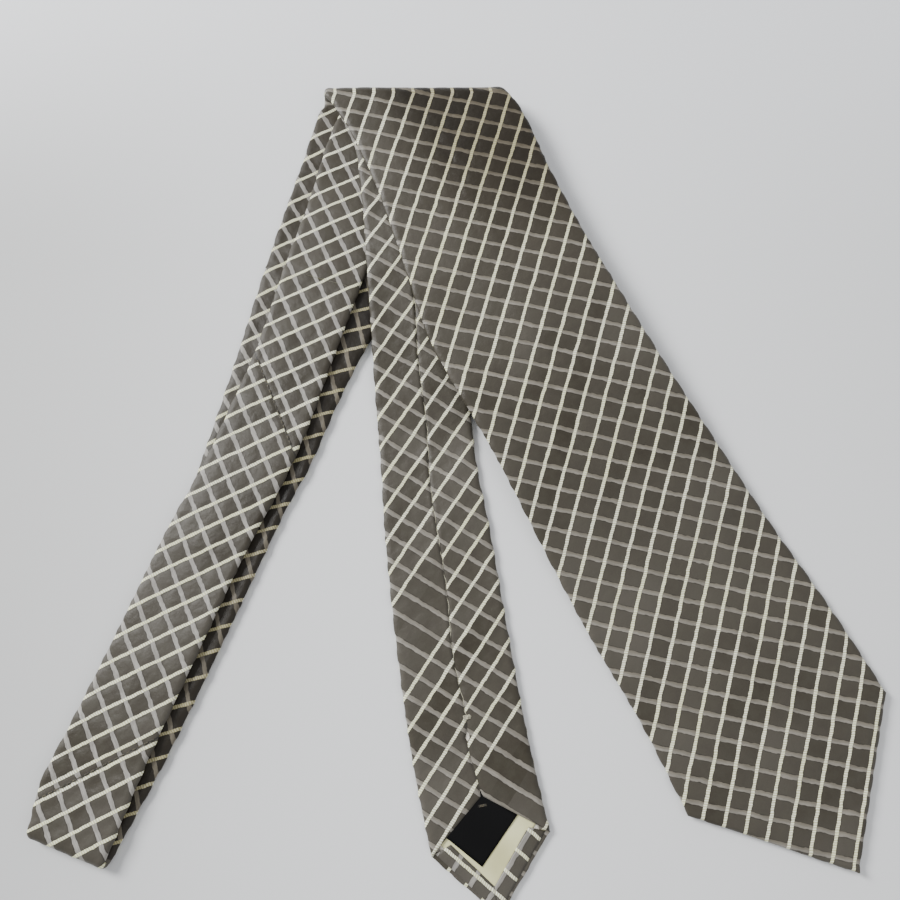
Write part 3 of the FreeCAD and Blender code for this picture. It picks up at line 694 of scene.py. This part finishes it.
class CheckSilk(Nodes):
    """Grey satin cells crossed by ribbed cream stripes and by silvery grey bands.

    The mesh says where the check lies (two UV maps), how far the nearest panel seam is ("panel"),
    where cream stripes are left out ("bare"), and how much painted brown shade darkens the cloth ("shade").
    """

    CREAM_HALF, CREAM_EDGE = 0.077, 0.012       # half widths and soft edges, in repeats
    GREY_HALF, GREY_EDGE = 0.103, 0.016
    TWILL = 23.0                                # fine lines of the weave in a repeat
    # painted shade: colours multiplied into the cloth where the shade value darkens it
    BROWN, DUSK = (0.37, 0.31, 0.19, 1.0), (0.46, 0.42, 0.34, 1.0)

    def __init__(self):
        super().__init__("check_silk")
        self.spot = self.place()
        attribute = "ShaderNodeAttribute"
        self.panel, bare, self.painted_shade = (self.add(attribute, output="Fac", attribute_name=name)
                                       for name in ("panel", "bare", "shade"))
        u, v = self.find_check()
        self.u, self.v, self.uv = u, v, self.vector(u, v)
        self.v_off = self.off_line(v)
        self.u_far, self.v_far = abs(self.off_line(u)), abs(self.v_off)
        self.kept = 1.0 - self.span(bare, 0.35, 0.65)
        self.cream = self.band(self.u_far, self.CREAM_HALF, self.CREAM_EDGE) * self.kept
        ragged = self.v_far + self.noise(self.uv, 3.0, 1.0, -0.015, 0.015)
        self.grey = self.band(ragged, self.GREY_HALF, self.GREY_EDGE)
        self.ribs = self.wave(u * 2.0 + v * 9.0)
        self.weave = self.wave(u * self.TWILL - v * self.TWILL)

    def find_check(self):
        """Where the check lies, from the second UV map beyond a panel seam, with a woven wobble."""
        maps = [self.add("ShaderNodeUVMap", uv_map=name) for name in ("check", "check_other")]
        feeds = (0, self.math("GREATER_THAN", self.panel, 0.0)), (4, maps[0]), (5, maps[1])
        uv = self.add("ShaderNodeMix", feeds, 1, data_type="VECTOR")
        slow = self.noise(self.spot, 90.0, 2.0, -0.016, 0.016)
        wobble = slow + self.noise(self.spot, 420.0, 2.0, -0.012, 0.012)
        return [self.axis(uv, name) + wobble for name in "XY"]

    def cells(self):
        """Satin between the stripes: its tone changes by lane, by cell and over the cloth, partly the
        satin's own tone and partly painted sheen.
        """
        lane, cell = self.math("FLOOR", self.u), self.math("FLOOR", self.v)
        shade = self.noise(self.spot, 11.0, 2.0) * 0.4
        shade += self.noise(self.vector(lane * 0.43, self.v * 0.1), 1.0, 1.0) * 0.38
        shade += self.noise(self.vector(lane, cell), 0.77, 1.0) * 0.22
        satin = self.mix(shade, rgb(46, 40, 26), rgb(92, 88, 81))
        satin = self.mix(self.noise(self.uv, 1.7, 4.0) * 0.22, satin, rgb(86, 85, 74))
        satin = self.mix(self.weave * 0.05 + 0.06, satin, rgb(30, 28, 26))
        # painted shadow: a dark line round each cell beside the stripes, where the puffed cells dip to the
        # sunk stripes
        near_cream = (self.band(self.u_far, 0.112, 0.018) - self.cream) * self.kept
        near_grey = self.band(self.v_far, 0.14, 0.014) - self.grey
        rim = self.math("MINIMUM", near_cream + near_grey, 1.0)
        satin = self.mix(rim * 0.42, satin, rgb(26, 23, 20))
        # painted brown shade, multiplied into the satin by the shade value
        return self.mix(self.painted_shade, satin, self.BROWN, "MULTIPLY")

    def bands(self):
        """The grey bands, with painted sheen that lights them where their threads lie across the x axis,
        and a painted highlight along one edge.
        """
        thread = self.add("ShaderNodeTangent", direction_type="UV_MAP", uv_map="check")
        feeds = (0, thread), (1, (1.0, 0.0, 0.0))
        along_x = abs(self.add("ShaderNodeVectorMath", feeds, "Value", operation="DOT_PRODUCT"))
        # painted sheen: lighter bands where the threads lie across the x axis
        glint = self.span(along_x, 1.0, 0.45)
        grain = self.noise(self.vector(self.u * 1.6, self.v * 26.0), 1.0, 3.0)
        # painted highlight along the upper edge of each grey band
        edge_highlight = self.span(self.v_off, -0.1, 0.09) * (glint * -0.3 + 0.45)
        pale = self.mix(glint, rgb(124, 118, 104), rgb(172, 169, 163))
        pale = self.mix(edge_highlight, pale, rgb(176, 172, 166))
        return self.mix(grain * 0.42, pale, rgb(98, 92, 82))

    def stripes(self):
        """The cream stripes, ribbed across and a little yellower in places."""
        ribs = self.mix(self.ribs * 0.5 + 0.5, rgb(188, 185, 146), rgb(255, 255, 238))
        return self.mix(self.noise(self.spot, 38.0, 2.0) * 0.35, ribs, rgb(222, 222, 158))

    def make(self):
        patches = self.noise(self.uv, 0.9, 2.0) * 0.3 + 0.65
        colour = self.mix(self.grey * patches, self.cells(), self.bands())
        colour = self.mix(self.cream, colour, self.stripes())
        # deep painted shade, multiplied into stripes and cells alike where the shade value is high
        colour = self.mix(self.span(self.painted_shade, 0.45, 1.0), colour, self.DUSK, "MULTIPLY")
        # painted shade: a dark line in the crease along a panel seam
        seam = self.band(abs(self.panel), 0.28, 0.16)
        colour = self.mix(seam * 0.75, colour, rgb(34, 32, 30))
        raised = self.cream * (self.ribs * 0.3 + 0.7) + self.grey * 0.3
        raised += self.noise(self.uv, 2.4, 3.0) * 0.5
        self.bump(raised + self.weave * 0.07, 0.6, 0.00028)
        return self.finish(colour, self.cream * 0.16 + 0.42, 0.04, 0.3)


def satin(name, light, dark, sheen):
    """Plain satin with wide tonal bands and a fine cross weave."""
    n = Nodes(name)
    place = n.place()
    texture, feeds = "ShaderNodeTexWave", [("Vector", place), ("Scale", 16.0), ("Distortion", 2.2)]
    wide = n.add(texture, feeds, "Fac", wave_type="BANDS", bands_direction="DIAGONAL")
    feeds = [("Vector", place), ("Scale", 700.0)]
    fine = n.add(texture, feeds, "Fac", wave_type="BANDS", bands_direction="X")
    tone = n.mix(wide * 0.45, light, dark)
    tone = n.mix(n.noise(place, 70.0) * 0.3, tone, dark)
    n.bump(fine, 0.25, 0.0001)
    return n.finish(tone, 0.55, sheen, 0.12)


def spun(name, base, dark):
    """Brushed padding cloth or spun thread."""
    n = Nodes(name)
    fuzz = n.noise(n.place(), 1500.0, 4.0)
    n.bump(fuzz, 0.5, 0.0002)
    return n.finish(n.mix(fuzz, base, dark), 0.9, 0.4)


def table_top():
    """Matt white, with painted light: lighter to the right and the far side, as by a window."""
    n = Nodes("table_top")
    place = n.place()
    x, y = n.axis(place, "X"), n.axis(place, "Y")
    tone = n.mix(n.span(x, -0.26, 0.02), rgb(182, 183, 182), rgb(240, 242, 244))
    tone = n.mix(n.span(x, 0.05, 0.3), tone, rgb(231, 233, 234))
    tone = n.mix(n.span(y, -0.08, 0.1), tone, rgb(244, 246, 249))
    return n.finish(n.mix(n.noise(place, 1.2, 2.0, 0.0, 0.2), tone, rgb(214, 212, 208)), 0.6)


# Each material comes with the name of its slot in the record.
SILK = CheckSilk().make(), "shell_silk"
LINING = satin("tipping_satin", rgb(234, 232, 184), rgb(176, 171, 118), 0.1), "tipping_satin"
LABEL = satin("label_satin", rgb(9, 9, 10), rgb(4, 4, 5), 0.0), "label_tape"
PADDING = spun("interlining_wool", rgb(226, 222, 210), rgb(196, 190, 176)), "interlining_wool"
THREAD = spun("sewing_thread", rgb(206, 202, 176), rgb(150, 146, 126)), "sewing_thread"
DARK_THREAD = spun("seam_thread", rgb(92, 84, 62), rgb(44, 40, 32)), "sewing_thread"


# ---------------- what follows what

UNDER_CREST, BLADE_SOLE = 3.2, 7.2       # between the under run's waves and the blade
NECK_CREST, TAIL_SOLE = 6.03, 6.24       # between the neck run's waves and the tail
BENDS = {
    "top_fold": ("folded_base", "blade_top", (0, 0, UNDER_CREST * MM), (0, 0, BLADE_SOLE * MM)),
    "blade": ("blade_top", "blade_end", *BLADE.bend(-12, 12)),
    "neck_end": ("folded_base", "neck_end", *NECK.bend(-10, 10)),
    "inner_fold": ("folded_base", "tail_top", (0, 0, NECK_CREST * MM), (0, 0, TAIL_SOLE * MM)),
    "tail": ("tail_top", "tail_end", *TAIL.bend(-8, 8)),
    "label": ("tail_end", "care_label", *TAIL.bend(138.3, 140.7)),
}


def dress(piece, cloth, nodes=(), bend=None, body=None):
    """Give a piece its cloth and hide the CAD nodes that it stands for; a piece named for a bend only has
    its transform baked, and any other piece is parented to its body.
    """
    material, slot = cloth
    piece.data.materials.append(material)
    if nodes:
        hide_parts(*nodes)
    if bend:
        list(BENDS[bend])
        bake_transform(piece)
    else:
        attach(piece, body)


# ---------------- the runs' rows

blade = run_rows(BLADE_STATIONS, blade_height, 1)
under = run_rows(UNDER_STATIONS, level_height(UNDER_LEVEL), -1)
neck = run_rows(NECK_STATIONS, level_height(NECK_LEVEL), 1)
tail = run_rows(TAIL_STATIONS, tail_height, -1)
TOP_OUT, INNER_OUT, NECK_OUT = -TOP.out, -INNER.out, NECK.out
TOP_EDGE, INNER_EDGE, NECK_EDGE = (0.0, 9.0), INNER.origin - INNER_OUT * 3.0, NECK.at(0.0, -161.4)
TOP_RADIUS, NECK_RADIUS = (BLADE_LEVEL - UNDER_LEVEL) / 2, (NECK_LEVEL - UNDER_LEVEL) / 2
INNER_RADIUS = (TAIL_LEVEL - NECK_LEVEL) / 2
folded_back(under, TOP_EDGE, TOP_OUT, TOP_RADIUS)
top_turn = turn_rows(under, blade, TOP_OUT, 1, nip=(0.0, -4.0))
neck_in_blade_cloth = folded_back(neck[:], NECK_EDGE, NECK_OUT, NECK_RADIUS)
folded_back(neck_in_blade_cloth, TOP_EDGE, TOP_OUT, TOP_RADIUS)
neck_turn = turn_rows(under[::-1], neck_in_blade_cloth, NECK_OUT, 1, bulge=1.6)
folded_back(tail, INNER_EDGE, INNER_OUT, INNER_RADIUS)
inner_turn = turn_rows(neck[::-1], tail, INNER_OUT, -1)

# Rows at which one tube of shell ends and the next begins, counted from each run's first station.
BLADE_SPLIT, UNDER_SPLIT, TAIL_SPLIT = (int(length / ROW_STEP) for length in (62, 96, 70))
NECK_SPLIT = len(neck) - int(90 / ROW_STEP)
top_fold_rows = under[:UNDER_SPLIT][::-1] + top_turn + blade[:BLADE_SPLIT + 1]
blade_rows = blade[BLADE_SPLIT:] + tip_rows(blade, BLADE_TIP, blade_height)
neck_end_rows = under[UNDER_SPLIT - 1:] + neck_turn + neck_in_blade_cloth[:NECK_SPLIT + 1]
inner_fold_rows = neck[NECK_SPLIT:] + inner_turn + tail[:TAIL_SPLIT + 1]
tail_rows = tail[TAIL_SPLIT:] + tip_rows(tail, TAIL_TIP, tail_height)

TAIL_SEAM = np.array([(-70.4, -121.8), (-53.2, -162.8)])
BLADE_SEAM = np.array([(-144.7, -304.4), (-101.9, -282.3)])
NECK_ROWS_FROM = len(under) - UNDER_SPLIT + 1 + len(neck_turn)


def beyond_seam(points, seam, towards):
    """Signed distance of points from a seam line, positive on the side that the direction names."""
    run = unit(seam[1] - seam[0])
    normal = np.array([run[1], -run[0]])
    normal = normal if normal @ towards > 0 else -normal
    return (points - seam[0]) @ normal


def neck_pattern(flat, plan):
    """Three panels of cloth meet on the neck run: the blade's, the neck's and the tail's."""
    number = np.arange(len(flat))[:, None]
    on_neck = number >= NECK_ROWS_FROM
    apex = NECK_ROWS_FROM - len(neck_turn) // 2
    skin = plan + neck_end_rows.front[:, None, :2] * FACE
    beneath = ((skin[apex] - skin) @ NECK_OUT) * (number < apex)
    neck_cloth = NECK_END_CHECK.at(skin + 2 * beneath[..., None] * NECK_OUT)
    blade_cloth = BLADE_CHECK.at(flat)
    blade_cloth += np.round((neck_cloth - blade_cloth)[apex].mean(axis=0))
    rolled = smooth(number, apex - len(neck_turn) // 2, apex)[..., None]
    past_tail_seam = beyond_seam(plan, TAIL_SEAM, np.array([0.9, 0.4]))
    past_blade_seam = beyond_seam(plan, BLADE_SEAM, np.array([0.0, -1.0]))
    outside = np.where(on_neck, np.maximum(past_tail_seam, past_blade_seam), -NO_SEAM)
    in_tail_cloth = (on_neck & (past_tail_seam > past_blade_seam))[..., None]
    other = blade_cloth * (1 - rolled) + neck_cloth * rolled
    other = np.where(in_tail_cloth, TAIL_CHECK.at(plan), other)
    return NECK_CHECK.at(plan), other, outside


def row_at(rows, run, distance):
    return int(np.argmin(np.abs(run.distance(rows.middle()) - distance)))


TAIL_TACK_ROW = row_at(tail_rows, TAIL, 109)
BLADE_TACK_ROW = row_at(blade_rows, BLADE, 118)


TAIL_CHECKS, UNDER_CHECKS = (LEFT_FLAP_CHECK, RIGHT_FLAP_CHECK), (UNDER_LEFT_CHECK, UNDER_RIGHT_CHECK)
INNER_BACK = slice(len(neck) - NECK_SPLIT + len(inner_turn), None)
NECK_BACK = slice(0, NECK_ROWS_FROM - len(neck_turn))
TUBES = {
    "top_fold": Tube("shell_top_fold", top_fold_rows, one_panel(BLADE_CHECK),
                     flaps=(slice(0, UNDER_SPLIT), *UNDER_CHECKS)),
    "blade": Tube("shell_blade", blade_rows, one_panel(BLADE_CHECK),
                  vee=(len(blade) - BLADE_SPLIT - 1, 39.0, 120.0)),
    "neck_end": Tube("shell_neck_end", neck_end_rows, neck_pattern, flaps=(NECK_BACK, *UNDER_CHECKS)),
    "inner_fold": Tube("shell_inner_fold", inner_fold_rows, one_panel(TAIL_CHECK),
                       flaps=(INNER_BACK, *TAIL_CHECKS)),
    "tail": Tube("shell_tail", tail_rows, one_panel(TAIL_CHECK), flaps=(slice(None), *TAIL_CHECKS),
                 vee=(len(tail) - TAIL_SPLIT - 1, 18.5, 60.0), gap_at=TAIL_TACK_ROW + 11),
}


def shade_tubes():
    """Painted brown shade under other runs, on the upper left runs, and over the blade's crown."""
    for key in ("top_fold", "neck_end"):
        lying_under = 0.62 + 0.36 * smooth(TUBES[key].share, -0.6, 0.7)
        TUBES[key].back_shade += TUBES[key].own_back * lying_under
    for key in ("neck_end", "inner_fold"):
        TUBES[key].front_shade += 0.06 + 0.2 * smooth(TUBES[key].front_points[..., 1], -280, -180)
    for key in ("inner_fold", "tail"):
        TUBES[key].back_shade += 0.16
    for key in ("top_fold", "blade"):
        crown = smooth(TUBES[key].front_points[..., 1], -110, -10) * smooth(TUBES[key].share, -1.0, 0.1)
        TUBES[key].front_shade += 0.26 + 0.62 * crown


SHELL_NODES = {
    "top_fold": ("blade_shell_top", "blade_shell_under"), "blade": ("blade_shell_end",),
    "neck_end": ("blade_shell_neck", "neck_shell_lower", "neck_shell_upper"),
    "inner_fold": ("tail_shell_fold", "tail_shell_top"), "tail": ("tail_shell_end",),
}
INNER_LENGTHS = {                        # lengths of interlining and of slip stitch inside each tube
    "top_fold": ("blade_top", "under"), "blade": ("blade_end",), "neck_end": ("neck",),
    "inner_fold": ("fold", "tail_top"), "tail": ("tail_end",),
}


def padding_of(name, tube):
    """The wool strip inside a run, a little narrower than the run."""
    margin, lift, thickness = 1.8, 0.45, 0.7
    keep = np.flatnonzero(tube.half > 4)[::3]
    front = tube.rows.front[keep, None]
    aside = np.linspace(-1, 1, 13) * (tube.half[keep] - margin)
    return slab(name, spread([part[keep] for part in tube.axes], aside) + front * lift, front, thickness)


def slip_stitch_of(name, tube, last_row):
    """Thread that wanders from flap to flap in the groove of the back seam."""
    groove = tube.back_points[:last_row:2, tube.centre]
    front = tube.rows.front[:last_row:2]
    across = tube.axes[1][:last_row:2]
    swing = np.sin(np.arange(len(groove)) * 1.45)[:, None] * 0.4
    return cord(name, [groove + across * swing - front * 0.14], 0.13)


LAST_STITCHED = {"blade": BLADE_TACK_ROW, "tail": TAIL_TACK_ROW}
shade_tubes()
for name, tube in TUBES.items():
    interlining, slip_stitch = ([f"{kind}_{length}" for length in INNER_LENGTHS[name]]
                                for kind in ("interlining", "slip_stitch"))
    dress(tube.build(), SILK, SHELL_NODES[name], bend=name)
    dress(padding_of(f"padding_{name}", tube), PADDING, interlining, bend=name)
    stitch = slip_stitch_of(f"slip_stitch_{name}", tube, LAST_STITCHED.get(name))
    dress(stitch, THREAD, slip_stitch, bend=name)


# ---------------- pointed ends

class PointedEnd:
    """The open back of a pointed end: lining, turned hem, and the depth at which things lie.

    back: 1 where the back faces up, or -1; shoulder and length: distances of the shoulders and
    of the point from the run's bend.
    """

    MITRE = 1.38                    # how much longer than wide the hem is along the middle line

    def __init__(self, run, height, back, half, shoulder, length):
        self.run, self.height, self.back = run, height, back
        self.half, self.length = half, length
        self.slope = half / (length - shoulder)

    def corner(self, x, y):
        """Run coordinates of a place in the model's frame."""
        offset = np.array([x, y]) - self.run.origin
        return np.array([offset @ self.run.side, -(offset @ self.run.out)])

    def place(self, x, y, depth):
        """Points at a depth behind the middle of the run."""
        plan = self.run.at(x, y)
        level = self.height(plan) + self.back * depth
        return np.concatenate([plan, level[..., None]], axis=-1)

    def lining(self, name, start, hem):
        """A sheet that runs from under the flaps to the hem, with soft wrinkles."""
        rows, columns, margin, thickness = 46, 40, 2.4, 0.22
        end = self.length - hem * self.MITRE
        y = -np.linspace(start, end - 0.4, rows)[:, None] * np.ones(columns)
        half = np.minimum(self.half - margin, (end + y) * self.slope)
        x = np.linspace(-1, 1, columns)[None, :] * half
        spot = np.stack([x, y], axis=-1)
        wrinkle = ripple(spot, 31, 16) * 0.07 + np.abs(ripple(spot, 33, 30, 4)) * 0.1
        return slab(name, self.place(x, y, 0.42 + wrinkle), UP * self.back, thickness)

    def hem(self, name, station, tip, width, check, seed):
        """Shell cloth turned over both slanting edges and mitred at the point."""
        point = self.corner(*tip) + np.array([0.0, 1.5])
        inner_point = point + np.array([0.0, width * self.MITRE])
        bands = []
        for side, shoulder in ((-1, station[:2]), (1, station[2:])):
            share = np.linspace(0, 1, 26)[:, None, None]
            corner = self.corner(*shoulder) + np.array([-1.8 * side, 0.6])
            inner_corner = corner + np.array([-width * 0.95 * side, width * 0.35])
            outer = corner * (1 - share) + point * share
            inner = inner_corner * (1 - share) + inner_point * share
            across = np.linspace(0, 1, 9)[None, :, None]
            spot = outer * (1 - across) + inner * across
            lift = 0.92 + 0.06 * ripple(spot, seed + side, 9, 5)
            lift = lift - 0.5 * (1 - across[..., 0]) ** 3
            top = self.place(spot[..., 0], spot[..., 1], lift)
            bands.append(slab(f"{name}_{'left' if side < 0 else 'right'}", top, UP * self.back, 0.4, check))
        return bands


tail_end = PointedEnd(TAIL, tail_height, 1, 24.25, 156.0, 182.4)
blade_end = PointedEnd(BLADE, blade_height, -1, 47.5, 179.5, 233.0)
for key, end, start, hem in (("tail", tail_end, 124, 6.6), ("blade", blade_end, 122, 10.0)):
    sheet = end.lining(f"{key}_tipping_sheet", start, hem)
    dress(sheet, LINING, [f"{key}_tipping"], body=f"{key}_end")
for band in tail_end.hem("tail_hem", TAIL_STATIONS[-1], TAIL_TIP, 7.0, TAIL_HEM_CHECK, 41):
    dress(band, SILK, body="tail_end")
for band in blade_end.hem("blade_hem", BLADE_STATIONS[-1], BLADE_TIP, 10.0, BLADE_CHECK, 43):
    dress(band, SILK, body="blade_end")


def add_label():
    """Plain black care label, a leaning rectangle tucked under both flaps."""
    corners = np.array([(0.6, -135.6), (-16.6, -150.0), (-3.7, -163.5), (13.4, -146.9)])
    top, left, foot, right = corners
    down = np.linspace(0, 1, 16)[:, None, None]
    over = np.linspace(0, 1, 16)[None, :, None]
    spot = (top * (1 - over) + right * over) * (1 - down) + (left * (1 - over) + foot * over) * down
    lift = 0.98 + 0.1 * np.sin(over[..., 0] * 3.0 + down[..., 0] * 2.0)
    label = slab("label_tape", tail_end.place(spot[..., 0], spot[..., 1], lift), UP, 0.28)
    dress(label, LABEL, ["care_label"], bend="label")
    strands = []
    for row in range(3):
        x = np.linspace(-1.6, 1.9, 7)
        y = np.full(7, -140.9 - row * 0.32)
        strands.append(tail_end.place(x, y, 1.12 + 0.12 * np.sin(np.linspace(0, math.pi, 7))))
    tack = cord("label_tack", strands, 0.11)
    dress(tack, DARK_THREAD, ["label_stitch"], body="care_label")


def bar_tack(name, tube, row, node, body):
    """A few strands drawn across the back seam, bound by one along it."""
    centre = tube.back_points[row, tube.centre]
    back = -tube.rows.front[row]
    across = tube.axes[1][row]
    along = np.cross(back, across)
    strands = []
    reach = np.linspace(-1, 1, 9)[:, None]
    for number in range(5):
        offset = along * (number - 2) * 0.34
        lift = back * (0.75 - 0.55 * reach ** 2)
        strands.append(centre + offset + across * reach * (2.6 - 0.25 * abs(number - 2)) + lift)
    for number in (-1, 1):
        lift = back * (0.92 - 0.2 * reach ** 2)
        strands.append(centre + across * number * 0.7 + along * reach * 0.9 + lift)
    dress(cord(name, strands, 0.17), THREAD, [node], body=body)


def add_keeper():
    """Band of shell cloth across the blade's back, sewn down at both ends."""
    x, y = np.meshgrid(np.linspace(-30, 30, 49), np.linspace(-34, -46, 12))
    ends = smooth(np.abs(x), 25.5, 28.5)
    depth = 2.68 - 0.55 * ends + 0.12 * np.sin((y + 34) / 12 * math.pi) * (1 - ends)
    keeper = slab("keeper_band", blade_end.place(x, y, depth), -UP, 0.75, BLADE_CHECK)
    dress(keeper, SILK, ["keeper_loop"], body="blade_end")
    strands = []
    for side in (-1, 1):
        for number in range(5):
            y_line = np.full(9, -36.0 - number * 2.0)
            x_line = side * 28.3 + np.linspace(-1.0, 1.0, 9)
            lift = 2.05 + 0.2 * np.sin(np.linspace(0, math.pi, 9))
            strands.append(blade_end.place(x_line, y_line, lift))
    sewing = cord("keeper_sewing", strands, 0.14)
    dress(sewing, THREAD, ["keeper_stitches"], body="blade_end")


def seam_dashes(name, seam, node, body):
    """Machine stitches sunk in a slanting seam on the front of the neck run."""
    length = np.linalg.norm(seam[1] - seam[0])
    strands = []
    for start in np.arange(0.6, length - 2.4, 2.5):
        share = (start + np.linspace(0, 1.9, 5)) / length
        plan = seam[0] + np.outer(share, seam[1] - seam[0])
        level = NECK_LEVEL + FACE - 0.04 + 0.12 * np.sin(np.linspace(0, math.pi, 5))
        strands.append(np.hstack([plan, level[:, None]]))
    dress(cord(name, strands, 0.26), DARK_THREAD, [node], body=body)


add_label()
bar_tack("tail_tack", TUBES["tail"], TAIL_TACK_ROW, "tail_bar_tack", "tail_end")
bar_tack("blade_tack", TUBES["blade"], BLADE_TACK_ROW, "blade_bar_tack", "blade_end")
add_keeper()
seam_dashes("tail_seam_thread", TAIL_SEAM, "tail_panel_seam", "folded_base")
seam_dashes("blade_seam_thread", BLADE_SEAM, "blade_panel_seam", "neck_end")


# ---------------- table, light and camera

def add_floor():
    bpy.ops.mesh.primitive_plane_add(size=8, location=(0, 0, -0.0004))
    floor = bpy.context.object
    floor.name = "floor"
    floor.data.materials.append(table_top())


def add_area_light(name, place, target, size, power, colour=(1.0, 1.0, 1.0)):
    light = bpy.data.lights.new(name, "AREA")
    light.size = size
    light.energy = power
    light.color = colour
    holder = bpy.data.objects.new(name, light)
    holder.location = place
    holder.rotation_euler = (Vector(target) - Vector(place)).to_track_quat("-Z", "Y").to_euler()
    bpy.context.scene.collection.objects.link(holder)


def add_world():
    world = bpy.data.worlds.new("room")
    world.use_nodes = True
    background = world.node_tree.nodes["Background"]
    background.inputs[0].default_value = (0.95, 0.965, 1.0, 1.0)
    background.inputs[1].default_value = 0.62
    bpy.context.scene.world = world


def add_camera():
    """A camera above the tie, tilted a little towards the top fold."""
    tilt, roll = math.radians(14.6), math.radians(-1.8)
    camera = bpy.data.cameras.new("camera")
    camera.lens = 36.0
    camera.sensor_width = 36.0
    holder = bpy.data.objects.new("camera", camera)
    place = Matrix.Translation((0.0032, -0.2616, 0.3838))
    holder.matrix_world = place @ Matrix.Rotation(roll, 4, "Y") @ Matrix.Rotation(tilt, 4, "X")
    bpy.context.scene.collection.objects.link(holder)
    bpy.context.scene.camera = holder


add_floor()
add_world()
add_area_light("key", (-1.25, 0.5, 0.95), (0, -0.15, 0), 0.6, 46)
add_area_light("fill", (0.9, -0.8, 1.4), (0, -0.15, 0), 1.4, 6, (1.0, 0.97, 0.93))
add_camera()
